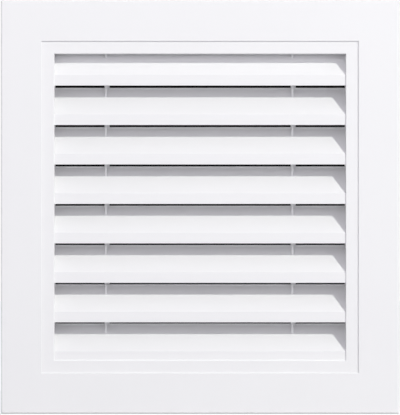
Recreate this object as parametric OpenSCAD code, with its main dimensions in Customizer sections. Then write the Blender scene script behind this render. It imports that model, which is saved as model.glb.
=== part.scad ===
// Louvred wall vent in three pieces: a moulded louvre body that is nailed to the wall,
// a trim ring that snaps over it and an insect screen staked across its back.
// The front faces -Y. The origin is the middle of the nailing flange's rear face.

/* [Overall size] */
// Width of the trim ring, which is the whole vent's width
vent_w = 398; // [300:1:500]
// Height of the trim ring, which is the whole vent's height
vent_h = 413; // [300:1:600]
// From the rear of the nailing flange to the front of the inner frame
body_d = 30; // [28:0.5:40]
// How far the body reaches into the hole in the wall
insert_d = 12; // [6:1:25]

/* [Trim ring] */
// Width of the ring's flat face
trim_w = 40.6; // [34:0.2:50]
// How far the ring's face stands proud of the inner frame
trim_step = 1.5; // [1.2:0.1:2]
// Depth of the ring's outer skirt
skirt_d = 14; // [8:1:16]
// Radius of the ring's outer front edge
skirt_r = 1.4; // [0.6:0.2:2]

/* [Inner frame and collar] */
// Width of the inner frame's face between the ring and the opening
frame_w = 12.5; // [9:0.5:16]
// How far the ring laps over the body
lap_w = 3.8; // [3:0.2:5]
// Wall thickness of the moulded pieces
wall = 2.3; // [2:0.1:2.6]
// How far the nailing flange reaches out from the collar
flange_w = 28; // [24:1:30]

/* [Louvres] */
// Height from one louvre to the next
louvre_pitch = 39.5; // [36:0.5:60]
// Height of each louvre's upright nose
nose_h = 10.7; // [8:0.1:14]
// Depth of each louvre's slope from front to back
slope_run = 25.5; // [20:0.5:25.5]
// Angle of the slope above the horizontal
slope_angle = 45; // [35:1:45]
// Height of the upright lip along each louvre's rear edge
lip_h = 1.65; // [1:0.05:2]
// How far the noses sit behind the inner frame's face
nose_recess = 1.5; // [0.6:0.1:2]
// How far the lowest nose runs down into the sill
nose_sink = 1.5; // [1:0.1:2]
// Distance from the middle of the vent to the middle of each rib's bridges
rib_offset = 93.6; // [60:0.2:110]

/* [Insect screen] */
// Thickness of the woven sheet
screen_t = 0.6; // [0.4:0.1:1]
// Gaps across the sheet
screen_cols = 12; // [6:1:12]
// Gaps up the sheet
screen_rows = 10; // [6:1:10]

/* [Hidden] */
$fn = 48;

// Small moulding radius on the body's and the louvres' edges, and steps to a full turn of it
edge_r = 0.5;
edge_fn = 16;

// Ring: its inner edge, the leg that goes round the collar and the plate behind its face
ring_inner_w = vent_w - 2 * trim_w;
ring_inner_h = vent_h - 2 * trim_w;
ring_front = -body_d - trim_step;
plate_t = 2.5;
leg_gap = 1.6;
leg_t = 2;
leg_d = 4;

// Body: the collar's outside, the opening in the inner frame and the hollow jambs round it
collar_w = ring_inner_w + 2 * lap_w;
collar_h = ring_inner_h + 2 * lap_w;
opening_w = ring_inner_w - 2 * frame_w;
opening_h = ring_inner_h - 2 * frame_w;
face_w = lap_w + frame_w;
flange_t = 2.2;
bead_t = 4.2;
bead_w = 2;

// Louvres: how many fit, the front of their noses and the height of the lowest nose's foot
louvre_count = floor((opening_h + nose_sink) / louvre_pitch) + 1;
nose_front = -body_d + nose_recess;
lowest_foot = -opening_h / 2 - nose_sink;
slope_rise = slope_run * tan(slope_angle);
rear_edge = nose_front + slope_run + wall;

// Ribs: a thin web, which stands left of the middle of the wider bridges across the slots
web_t = 2;
web_front_run = 17.5;
web_shift = 0.9;
web_places = [for (side = [-1, 1]) side * rib_offset - web_shift];
bridge_w = 5;
bridge_back = 0.4;

// Gussets across the hollow between collar and jamb
gusset_t = 2;
gusset_spacing = 48;
gusset_d = 20;

// Nail slots, two in each side of the flange
slot_w = 4.5;
slot_l = 16;
slot_spacing = 220;

// Clips that hold the ring: a ramped catch on the collar and a hook on each of the ring's fingers
clip_w = 12;
clip_spacing = 105;
catch_back = -20;
catch_l = 4;
catch_h = 1.3;
catch_flat = 0.6;
clip_play = 0.15;
finger_d = 15.5;

// Pads beside the clips that centre the ring, and ribs behind its face
pad_w = 2;
pad_gap = 0.2;
pad_offset = 20;
stiffener_t = 1.8;
stiffener_d = 5;
stiffener_spacing = 52.5;

// Stakes that hold the screen, on bosses inside the rim and on the ribs
stake_r = 0.9;
stake_head_r = 2;
stake_head_h = 1;
stake_spacing = 60;
stake_root = 1;
stake_play = 0.2;
boss_r = 2.6;
boss_in = 0.6;

// The bosses on the jambs stand between the slots, so that they close none of them
jamb_boss_heights = [
    for (i = [0:louvre_count - 1])
        let (z = lowest_foot + (i + 0.5) * louvre_pitch)
            if (z < opening_h / 2 - boss_r) z
];

// Screen: its sheet, the hem round it, the clear field between the hems and the weave's bars
screen_edge = 0.3;
screen_hem = 6;
sheet_w = opening_w + 2 * wall - 2 * screen_edge;
sheet_h = opening_h + 2 * wall - 2 * screen_edge;
clear_w = sheet_w - 2 * screen_hem;
clear_h = sheet_h - 2 * screen_hem;
row_pitch = clear_h / screen_rows;
thread_w = 1;
thread_lap = 0.1;
patch_r = 3;

// Small overlap that joins touching shapes into one
join = 1;

// Puts its children at the middle of each side of a rectangle, the way out being -Z there.
// $span is the length of that side.
module at_each_side(width, height) {
    for (side = [0:3])
        let ($span = side % 2 == 0 ? width : height, reach = side % 2 == 0 ? height : width)
            rotate([0, 90 * side, 0])
                translate([0, 0, -reach / 2])
                    children();
}

// Sweeps a section round a rectangle with mitred corners. The section is drawn with X as its
// place from front to back and Y as its distance in from the rectangle's edge.
module swept_frame(width, height, depth) {
    at_each_side(width, height)
        intersection() {
            translate([-$span / 2 - join, 0, 0])
                rotate([90, 0, 90])
                    linear_extrude($span + 2 * join)
                        children();
            rotate([90, 0, 0])
                linear_extrude(4 * depth, center = true)
                    polygon([
                        [-$span / 2 - join, -join],
                        [$span / 2 + join, -join],
                        [$span / 2 - depth, depth],
                        [depth - $span / 2, depth]
                    ]);
        }
}

// Rounds the outer corners of a flat shape
module eased(r = edge_r) {
    offset(r = r, $fn = edge_fn)
        offset(delta = -r)
            children();
}

// Evenly spaced places, centred on zero, that fit in a length
function spread(length, spacing) =
    let (n = floor(length / spacing / 2))
        [for (i = [-n:n]) i * spacing];

// Section of the body's frame: flange with its bead, collar, inner face and jamb, in one wall
module body_section() {
    eased()
        polygon([
            [-bead_t, 0],
            [-bead_t, bead_w],
            [-flange_t, bead_w],
            [-flange_t, flange_w],
            [-body_d, flange_w],
            [-body_d, flange_w + face_w],
            [insert_d, flange_w + face_w],
            [insert_d, flange_w + face_w - wall],
            [-body_d + wall, flange_w + face_w - wall],
            [-body_d + wall, flange_w + wall],
            [0, flange_w + wall],
            [0, 0]
        ]);
}

module body_frame() {
    swept_frame(collar_w + 2 * flange_w, collar_h + 2 * flange_w, flange_w + face_w + join)
        body_section();
}

// Side view of one louvre, with its crease at the origin: nose, slope and upright rear lip
module louvre_section() {
    lift = wall / cos(slope_angle);
    rear = slope_run + wall;
    eased()
        polygon([
            [0, 0],
            [slope_run, slope_rise],
            [slope_run, slope_rise + lip_h],
            [rear, slope_rise + lip_h],
            [rear, rear * tan(slope_angle) - lift],
            [wall, wall * tan(slope_angle) - lift],
            [wall, -nose_h],
            [0, -nose_h]
        ]);
}

// The bank of louvres, cut off inside the jambs, head and sill that carry it
module louvre_bank() {
    intersection() {
        for (i = [0:louvre_count - 1])
            translate([-opening_w / 2 - join, nose_front, lowest_foot + nose_h + i * louvre_pitch])
                rotate([90, 0, 90])
                    linear_extrude(opening_w + 2 * join)
                        louvre_section();
        cube([opening_w + 2 * join, 2 * body_d, opening_h + 2 * join + nose_sink], center = true);
    }
}

// One upright rib: the web that ties the louvres together and backs the screen
module support_rib() {
    web_front = nose_front + web_front_run;
    length = opening_h + 2 * join;
    translate([-web_t / 2, web_front, -length / 2])
        cube([web_t, insert_d - web_front, length]);
    translate([web_shift - bridge_w / 2, rear_edge - wall + bridge_back, -length / 2])
        cube([bridge_w, wall, length]);
}

// Gussets that stiffen the hollow between the collar and the jamb
module gussets() {
    at_each_side(collar_w, collar_h)
        for (x = spread($span - 2 * face_w, gusset_spacing))
            translate([x - gusset_t / 2, -body_d + join, join])
                cube([gusset_t, gusset_d, face_w - 2 * join]);
}

// Ramped catches on the outside of the collar
module catches() {
    at_each_side(collar_w, collar_h)
        for (x = [-1:1])
            translate([x * clip_spacing - clip_w / 2, 0, 0])
                rotate([90, 0, 90])
                    linear_extrude(clip_w)
                        polygon([
                            [catch_back - catch_l, join],
                            [catch_back - catch_l, 0],
                            [catch_back - catch_flat, -catch_h],
                            [catch_back, -catch_h],
                            [catch_back, join]
                        ]);
}

module nail_slots() {
    at_each_side(collar_w + flange_w, collar_h + flange_w)
        for (x = [-1, 1])
            translate([x * slot_spacing / 2, 0, 0])
                rotate([90, 0, 0])
                    linear_extrude(4 * bead_t, center = true) {
                        square([slot_l - slot_w, slot_w], center = true);
                        for (end = [-1, 1])
                            translate([end * (slot_l - slot_w) / 2, 0])
                                circle(d = slot_w);
                    }
}

// Puts its children along the rim, at the bosses
module at_each_boss() {
    for (side = [-1, 1]) {
        for (x = spread(opening_w - stake_spacing / 2, stake_spacing))
            translate([x, insert_d, side * (opening_h / 2 - boss_in)])
                children();
        for (z = jamb_boss_heights)
            translate([side * (opening_w / 2 - boss_in), insert_d, z])
                children();
    }
}

// Puts its children down both ribs, where the screen's bars cross
module at_each_rib_stake() {
    for (x = web_places, row = [2, floor(screen_rows / 2), screen_rows - 2])
        translate([x, insert_d, (row - screen_rows / 2) * row_pitch])
            children();
}

module at_each_stake() {
    at_each_boss()
        children();
    at_each_rib_stake()
        children();
}

// A boss that runs from the louvres' rear edges to the rim
module stake_boss() {
    rotate([90, 0, 0])
        cylinder(r = boss_r, h = insert_d - rear_edge + wall);
}

module stake() {
    rotate([-90, 0, 0]) {
        translate([0, 0, -stake_root])
            cylinder(r = stake_r, h = stake_root + screen_t + stake_head_h / 2);
        translate([0, 0, screen_t])
            cylinder(r1 = stake_head_r, r2 = stake_r, h = stake_head_h);
    }
}

module louvre_body() {
    color("white")
        difference() {
            union() {
                body_frame();
                louvre_bank();
                for (x = web_places)
                    translate([x, 0, 0])
                        support_rib();
                gussets();
                catches();
                at_each_boss()
                    stake_boss();
                at_each_stake()
                    stake();
            }
            nail_slots();
        }
}

// Section of the ring: skirt, face, leg round the collar and the thin lap over the inner frame
module ring_section() {
    leg_in = trim_w - lap_w - leg_gap;
    eased()
        polygon([
            [ring_front, 0],
            [ring_front, trim_w],
            [-body_d, trim_w],
            [-body_d, leg_in],
            [ring_front + plate_t + leg_d, leg_in],
            [ring_front + plate_t + leg_d, leg_in - leg_t],
            [ring_front + plate_t, leg_in - leg_t],
            [ring_front + plate_t, wall],
            [ring_front + skirt_d, wall],
            [ring_front + skirt_d, 0]
        ]);
}

// The ring's section with its outer front edge rounded more than the rest
module rounded_ring_section() {
    difference() {
        ring_section();
        translate([ring_front - join, -join])
            square(skirt_r + join);
    }
    translate([ring_front + skirt_r, skirt_r])
        circle(skirt_r);
}

// Fingers on the ring's leg, each with a hook that sits behind a catch
module clip_fingers() {
    finger_back = ring_front + finger_d;
    hook_front = catch_back + clip_play;
    at_each_side(collar_w, collar_h)
        for (x = [-1:1])
            translate([x * clip_spacing - clip_w / 2, 0, -leg_gap])
                rotate([90, 0, 90])
                    linear_extrude(clip_w)
                        polygon([
                            [ring_front + join, -leg_t],
                            [ring_front + join, 0],
                            [hook_front, 0],
                            [hook_front, catch_h],
                            [hook_front + catch_flat, catch_h],
                            [finger_back, 0],
                            [finger_back, -leg_t]
                        ]);
}

// Pads that centre the ring on the collar
module centring_pads() {
    at_each_side(collar_w, collar_h)
        for (x = [-1:1], side = [-1, 1])
            translate([x * clip_spacing + side * pad_offset - pad_w / 2, -body_d - join / 2, -leg_gap - join])
                cube([pad_w, plate_t + leg_d - trim_step + join / 2, leg_gap - pad_gap + join]);
}

// Ribs behind the ring's face, from the leg to the skirt
module stiffeners() {
    rib_l = trim_w - lap_w - leg_gap - leg_t - wall + 2 * join;
    at_each_side(vent_w - 2 * wall, vent_h - 2 * wall)
        for (x = spread($span - 2 * trim_w, stiffener_spacing))
            translate([x - stiffener_t / 2, ring_front + join, -join])
                cube([stiffener_t, plate_t + stiffener_d - join, rib_l]);
}

module trim_ring() {
    color("white") {
        swept_frame(vent_w, vent_h, trim_w + join)
            rounded_ring_section();
        clip_fingers();
        centring_pads();
        stiffeners();
    }
}

// Bars of one direction of the screen's weave, laid between the hems
module threads(count, pitch, length, depth) {
    for (i = [1:count - 1])
        translate([i * pitch - count * pitch / 2 - thread_w / 2, 0, -length / 2])
            cube([thread_w, depth, length]);
}

// The hem and the two crossing layers of bars, with the sheet's front face at zero
module woven_sheet() {
    layer_t = screen_t / 2 + thread_lap / 2;
    translate([0, screen_t, 0])
        rotate([90, 0, 0])
            linear_extrude(screen_t)
                difference() {
                    square([sheet_w, sheet_h], center = true);
                    square([clear_w, clear_h], center = true);
                }
    threads(screen_cols, clear_w / screen_cols, clear_h + 2 * join, layer_t);
    translate([0, screen_t - layer_t, 0])
        rotate([0, 90, 0])
            threads(screen_rows, row_pitch, clear_w + 2 * join, layer_t);
}

module insect_screen() {
    color([0.16, 0.17, 0.18])
        difference() {
            union() {
                translate([0, insert_d, 0])
                    woven_sheet();
                at_each_rib_stake()
                    rotate([-90, 0, 0])
                        cylinder(r = patch_r, h = screen_t);
            }
            at_each_stake()
                rotate([90, 0, 0])
                    cylinder(r = stake_r + stake_play, h = 4 * screen_t, center = true);
        }
}

louvre_body();
trim_ring();
insect_screen();
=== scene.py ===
from math import pi, radians

import bmesh
import bpy
from mathutils import Matrix, Vector


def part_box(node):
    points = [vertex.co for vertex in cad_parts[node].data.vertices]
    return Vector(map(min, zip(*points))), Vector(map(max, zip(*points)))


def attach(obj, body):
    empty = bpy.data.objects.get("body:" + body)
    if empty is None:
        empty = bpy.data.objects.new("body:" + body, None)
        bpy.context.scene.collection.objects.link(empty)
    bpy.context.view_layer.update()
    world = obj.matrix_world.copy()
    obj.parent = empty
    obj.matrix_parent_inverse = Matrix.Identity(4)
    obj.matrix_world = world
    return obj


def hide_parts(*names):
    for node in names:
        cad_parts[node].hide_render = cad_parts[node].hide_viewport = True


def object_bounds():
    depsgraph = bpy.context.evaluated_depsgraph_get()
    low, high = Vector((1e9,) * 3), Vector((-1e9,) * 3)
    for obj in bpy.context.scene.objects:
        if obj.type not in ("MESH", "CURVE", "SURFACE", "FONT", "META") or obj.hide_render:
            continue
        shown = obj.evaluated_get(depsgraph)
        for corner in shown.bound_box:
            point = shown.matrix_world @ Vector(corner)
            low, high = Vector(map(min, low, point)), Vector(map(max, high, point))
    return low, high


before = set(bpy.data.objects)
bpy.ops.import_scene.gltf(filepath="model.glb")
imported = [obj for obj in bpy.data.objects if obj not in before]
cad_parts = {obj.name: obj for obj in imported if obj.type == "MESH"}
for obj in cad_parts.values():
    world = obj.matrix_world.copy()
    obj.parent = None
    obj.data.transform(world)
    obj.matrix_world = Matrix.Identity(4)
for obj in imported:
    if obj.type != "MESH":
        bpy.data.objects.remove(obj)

cad_low, cad_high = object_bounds()

# Lengths below are in metres.
MM = 0.001

# The picture, in pixels, and the millimetre of the vent's face that each pixel shows
PICTURE_W = 400
PICTURE_H = 415
FACE_PER_PIXEL = 1.0 * MM

# The vent, as the frame has it
ring_low, ring_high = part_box("trim_ring")
body_low, body_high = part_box("louvre_body")
screen_low, screen_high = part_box("insect_screen")


# Camera

CAMERA_DISTANCE = 5.0
SENSOR_W = 36.0
CAMERA_SIDE = -0.1 * MM
CAMERA_RISE = -0.4 * MM


def place_camera():
    data = bpy.data.cameras.new("front_camera")
    data.sensor_fit = "HORIZONTAL"
    data.sensor_width = SENSOR_W
    data.lens = SENSOR_W * CAMERA_DISTANCE / (PICTURE_W * FACE_PER_PIXEL)
    data.clip_end = 50.0
    camera = bpy.data.objects.new("front_camera", data)
    bpy.context.scene.collection.objects.link(camera)
    camera.location = (CAMERA_SIDE, ring_low.y - CAMERA_DISTANCE, CAMERA_RISE)
    camera.rotation_euler = (radians(90), 0.0, 0.0)
    bpy.context.scene.camera = camera


# Shader nodes

class Wire:
    """An output of a node. Arithmetic on it adds Math nodes."""

    def __init__(self, finish, socket):
        self.finish = finish
        self.socket = socket

    def math(self, operation, first, second=0.0):
        return self.finish.add("ShaderNodeMath", {"operation": operation}, {0: first, 1: second})

    def __add__(self, other):
        return self.math("ADD", self, other)

    def __radd__(self, other):
        return self.math("ADD", other, self)

    def __sub__(self, other):
        return self.math("SUBTRACT", self, other)

    def __rsub__(self, other):
        return self.math("SUBTRACT", other, self)

    def __mul__(self, other):
        return self.math("MULTIPLY", self, other)

    def __rmul__(self, other):
        return self.math("MULTIPLY", other, self)

    def above_zero(self):
        return self.math("MAXIMUM", self)


class Finish:
    """A material or world that nodes are added to."""

    def __init__(self, owner):
        owner.use_nodes = True
        self.tree = owner.node_tree
        self.tree.nodes.clear()

    def add(self, kind, settings, sockets, output=0):
        node = self.tree.nodes.new(kind)
        for name, value in settings.items():
            if name == "stops":
                ramp = node.color_ramp
                for element, (place, colour) in zip(ramp.elements, value):
                    element.position = place
                    element.color = colour
            else:
                setattr(node, name, value)
        for name, value in sockets.items():
            if isinstance(value, Wire):
                self.tree.links.new(value.socket, node.inputs[name])
            else:
                node.inputs[name].default_value = value
        return Wire(self, node.outputs[output]) if node.outputs else node

    def noise(self, place, scale, detail=2.0, roughness=0.5):
        """Noise from 0 to 1 whose grains are about 1 / scale metres wide."""
        return self.add(
            "ShaderNodeTexNoise",
            {},
            {"Vector": place, "Scale": scale, "Detail": detail, "Roughness": roughness},
        )


def rgba(red, green, blue):
    return (red, green, blue, 1.0)


# Finishes

def moulded_white(name, tone, grain_seed):
    """Satin white moulded plastic: nearly even in colour, with a faint grain and slow waves."""
    material = bpy.data.materials.new(name)
    finish = Finish(material)
    spot = finish.add("ShaderNodeTexCoord", {}, {}, output="Object")
    place = finish.add("ShaderNodeMapping", {}, {"Vector": spot, "Location": (grain_seed, 0.0, 0.0)})
    cloud = finish.noise(place, 7.0, 3.0)
    speck = finish.noise(place, 900.0, 1.0)
    shade = cloud * 0.7 + speck * 0.3
    colour = finish.add(
        "ShaderNodeMix",
        {"data_type": "RGBA"},
        {0: shade, 6: rgba(*[c * 0.965 for c in tone]), 7: rgba(*tone)},
        output=2,
    )
    satin = finish.noise(place, 60.0, 3.0) * 0.12 + 0.4
    grain = finish.noise(place, 1400.0, 2.0) * 0.25 + finish.noise(place, 22.0, 1.0)
    bump = finish.add("ShaderNodeBump", {}, {"Height": grain, "Strength": 0.12, "Distance": 0.15 * MM})
    shader = finish.add(
        "ShaderNodeBsdfPrincipled",
        {},
        {
            "Base Color": colour,
            "Roughness": satin,
            "Normal": bump,
            "Specular IOR Level": 0.4,
            "IOR": 1.49,
        },
    )
    finish.add("ShaderNodeOutputMaterial", {}, {"Surface": shader})
    return material


def charcoal_thread():
    """Coated fibre thread, charcoal and slightly shiny."""
    material = bpy.data.materials.new("charcoal_thread")
    finish = Finish(material)
    spot = finish.add("ShaderNodeTexCoord", {}, {}, output="Object")
    dust = finish.noise(spot, 40.0, 4.0)
    colour = finish.add(
        "ShaderNodeMix",
        {"data_type": "RGBA"},
        {0: dust, 6: rgba(0.012, 0.012, 0.013), 7: rgba(0.03, 0.031, 0.034)},
        output=2,
    )
    rough = finish.noise(spot, 500.0, 2.0) * 0.2 + 0.45
    shader = finish.add(
        "ShaderNodeBsdfPrincipled",
        {},
        {"Base Color": colour, "Roughness": rough, "Specular IOR Level": 0.4},
    )
    finish.add("ShaderNodeOutputMaterial", {}, {"Surface": shader})
    return material


def dress_node(node, material):
    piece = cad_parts[node]
    piece.data.materials.clear()
    piece.data.materials.append(material)


# Insect screen

THREAD_D = 0.28 * MM
THREADS_PER_METRE_ACROSS = 18 / 0.0254
THREADS_PER_METRE_UP = 16 / 0.0254
THREAD_SIDES = 6
HEM_W = 5.0 * MM


def lay_thread(mesh, length, turn, place):
    """Adds one straight thread, which stands up until turned."""
    made = bmesh.ops.create_cone(
        mesh,
        cap_ends=True,
        segments=THREAD_SIDES,
        radius1=THREAD_D / 2,
        radius2=THREAD_D / 2,
        depth=length,
    )
    bmesh.ops.transform(mesh, matrix=Matrix.Translation(place) @ turn, verts=made["verts"])


def spaced(low, high, per_metre):
    """Places between two ends, evenly spaced, at about this many a metre."""
    count = int((high - low) * per_metre)
    return [low + (high - low) * (i + 0.5) / count for i in range(count)]


def weave_screen():
    """Two layers of crossing threads inside a hem that is welded flat."""
    mesh = bmesh.new()
    middle = (screen_low + screen_high) / 2
    size = screen_high - screen_low
    layer = THREAD_D * 0.45
    across = Matrix.Rotation(radians(90), 4, "Y")
    for x in spaced(screen_low.x, screen_high.x, THREADS_PER_METRE_ACROSS):
        lay_thread(mesh, size.z, Matrix(), Vector((x, middle.y - layer, middle.z)))
    for z in spaced(screen_low.z, screen_high.z, THREADS_PER_METRE_UP):
        lay_thread(mesh, size.x, across, Vector((middle.x, middle.y + layer, z)))
    add_hem(mesh, middle, size)
    data = bpy.data.meshes.new("screen_weave")
    mesh.to_mesh(data)
    mesh.free()
    piece = bpy.data.objects.new("screen_weave", data)
    bpy.context.scene.collection.objects.link(piece)
    piece.data.materials.append(charcoal_thread())
    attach(piece, "root")
    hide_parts("insect_screen")
    return piece


def add_hem(mesh, middle, size):
    """A flat band round the sheet's edge."""
    made = bmesh.ops.create_grid(mesh, x_segments=1, y_segments=1, size=0.5)
    stand = Matrix.Rotation(radians(90), 4, "X")
    stretch = Matrix.Diagonal((size.x, 1.0, size.z, 1.0))
    bmesh.ops.transform(mesh, matrix=stretch @ stand, verts=made["verts"])
    sheet = made["verts"][0].link_faces[0]
    inner = bmesh.ops.inset_region(mesh, faces=[sheet], thickness=HEM_W, use_even_offset=True)
    bmesh.ops.delete(mesh, geom=[sheet], context="FACES")
    raised = bmesh.ops.extrude_face_region(mesh, geom=inner["faces"])
    top = [v for v in raised["geom"] if isinstance(v, bmesh.types.BMVert)]
    bmesh.ops.translate(mesh, vec=(0.0, size.y, 0.0), verts=top)
    low = [v for face in inner["faces"] for v in face.verts]
    bmesh.ops.translate(mesh, vec=middle - Vector((0.0, size.y / 2, 0.0)), verts=list(set(low + top)))


# Light and surroundings

# The lamp: which way it lies from the vent, how far off, how wide, and the light that it gives
# in watts a square metre
KEY_FROM = Vector((0.74, -1.0, 0.7)).normalized()
KEY_DISTANCE = 5.5
KEY_D = 0.24
KEY_LEVEL = 1.7
KEY_COLOUR = (0.985, 1.0, 0.945)

# The sky's strength low in front of the vent, straight overhead and straight behind
SKY_FRONT = 1.78
SKY_OVERHEAD = 0.72
SKY_BEHIND = 0.4
SKY_COLOUR = rgba(0.943, 0.92, 1.0)
FLOOR_HALF = 6.0
FLOOR_DROP = 0.5 * MM
FLOOR_COLOUR = rgba(0.45, 0.45, 0.46)
FLOOR_LIFT = 0.66
# Where the painted shade sheet stands behind the vent, and how bright its painted fill glow is for
# bounced rays
SHADE_PANEL_BACK = 1.5 * MM
PAINTED_FILL_GLOW = 0.38


def light_vent():
    """A small soft lamp, above and to the right, that doesn't show in gloss."""
    data = bpy.data.lights.new("key", "AREA")
    data.shape = "DISK"
    data.size = KEY_D
    data.energy = KEY_LEVEL * pi * KEY_DISTANCE ** 2
    data.color = KEY_COLOUR
    lamp = bpy.data.objects.new("key", data)
    bpy.context.scene.collection.objects.link(lamp)
    lamp.location = KEY_FROM * KEY_DISTANCE
    lamp.rotation_euler = KEY_FROM.to_track_quat("Z", "Y").to_euler()
    lamp.visible_camera = False
    lamp.visible_glossy = False


def plain_view(finish):
    """1 for the rays that show the background: from the camera, off gloss and through glass."""
    camera = finish.add("ShaderNodeLightPath", {}, {}, output="Is Camera Ray")
    gloss = finish.add("ShaderNodeLightPath", {}, {}, output="Is Glossy Ray")
    glass = finish.add("ShaderNodeLightPath", {}, {}, output="Is Transmission Ray")
    return finish.add("ShaderNodeClamp", {}, {"Value": camera + gloss + glass})


def white_surroundings():
    """A sky that is brightest low in front of the vent, but looks plain white all round."""
    world = bpy.data.worlds.new("surroundings")
    bpy.context.scene.world = world
    finish = Finish(world)
    towards = finish.add("ShaderNodeTexCoord", {}, {}, output="Generated")
    y = finish.add("ShaderNodeSeparateXYZ", {}, {"Vector": towards}, output="Y")
    z = finish.add("ShaderNodeSeparateXYZ", {}, {"Vector": towards}, output="Z")
    low_front = (y * -1.0).above_zero() * (1.0 - z * z * 4.0).above_zero()
    strength = (
        low_front * SKY_FRONT + z.above_zero() * SKY_OVERHEAD + y.above_zero() * SKY_BEHIND
    )
    sky = finish.add("ShaderNodeBackground", {}, {"Color": SKY_COLOUR, "Strength": strength})
    white = finish.add("ShaderNodeBackground", {}, {"Color": rgba(1.0, 1.0, 1.0), "Strength": 1.0})
    mix = finish.add("ShaderNodeMixShader", {}, {0: plain_view(finish), 1: sky, 2: white})
    finish.add("ShaderNodeOutputWorld", {}, {"Surface": mix})


def stage_plane(name, turn, stretch, place, material):
    mesh = bmesh.new()
    bmesh.ops.create_grid(mesh, x_segments=1, y_segments=1, size=1.0)
    bmesh.ops.transform(mesh, matrix=Matrix.Translation(place) @ turn @ stretch, verts=mesh.verts)
    data = bpy.data.meshes.new(name)
    mesh.to_mesh(data)
    mesh.free()
    plane = bpy.data.objects.new(name, data)
    bpy.context.scene.collection.objects.link(plane)
    plane.data.materials.append(material)
    return plane


def pale_floor():
    """Shows white where nothing shades it, and keeps the vent's shadow."""
    material = bpy.data.materials.new("pale_floor")
    finish = Finish(material)
    matt = finish.add("ShaderNodeBsdfDiffuse", {}, {"Color": FLOOR_COLOUR})
    lift = finish.add("ShaderNodeEmission", {}, {"Strength": plain_view(finish) * FLOOR_LIFT})
    both = finish.add("ShaderNodeAddShader", {}, {0: matt, 1: lift})
    finish.add("ShaderNodeOutputMaterial", {}, {"Surface": both})
    flat = Matrix.Diagonal((FLOOR_HALF, FLOOR_HALF, 1.0, 1.0))
    place = Vector((0.0, 0.0, cad_low.z - FLOOR_DROP))
    stage_plane("floor", Matrix(), flat, place, material)


def paint_cavity_shade():
    """A dark sheet behind the vent: painted shade that stands in for an unlit wall cavity, seen
    through the gaps from the front, with a painted glow of fill light for bounced rays; see-through
    from behind.
    """
    material = bpy.data.materials.new("painted_cavity_shade")
    finish = Finish(material)
    behind = finish.add("ShaderNodeNewGeometry", {}, {}, output="Backfacing")
    bounce = finish.add("ShaderNodeLightPath", {}, {}, output="Is Diffuse Ray")
    # Painted fill light: the sheet glows for bounced rays though it is no lamp, and is otherwise dark
    # painted shade
    painted_glow = finish.add("ShaderNodeEmission", {}, {"Strength": bounce * PAINTED_FILL_GLOW})
    clear = finish.add("ShaderNodeBsdfTransparent", {}, {})
    mix = finish.add("ShaderNodeMixShader", {}, {0: behind, 1: painted_glow, 2: clear})
    finish.add("ShaderNodeOutputMaterial", {}, {"Surface": mix})
    half = (screen_high - screen_low) / 2
    wide = Matrix.Diagonal((half.x, half.z, 1.0, 1.0))
    stand = Matrix.Rotation(radians(90), 4, "X")
    place = Vector((0.0, body_high.y + SHADE_PANEL_BACK, 0.0))
    wall = stage_plane("painted_shade_panel", stand, wide, place, material)
    wall.visible_glossy = False
    wall.visible_shadow = False
    wall.visible_transmission = False


place_camera()
light_vent()
white_surroundings()
pale_floor()
paint_cavity_shade()

WHITE = (0.885, 0.885, 0.89)
dress_node("louvre_body", moulded_white("body_white", WHITE, 0.0))
dress_node("trim_ring", moulded_white("ring_white", WHITE, 3.0))
weave_screen()

bpy.context.scene.view_settings.view_transform = "Standard"
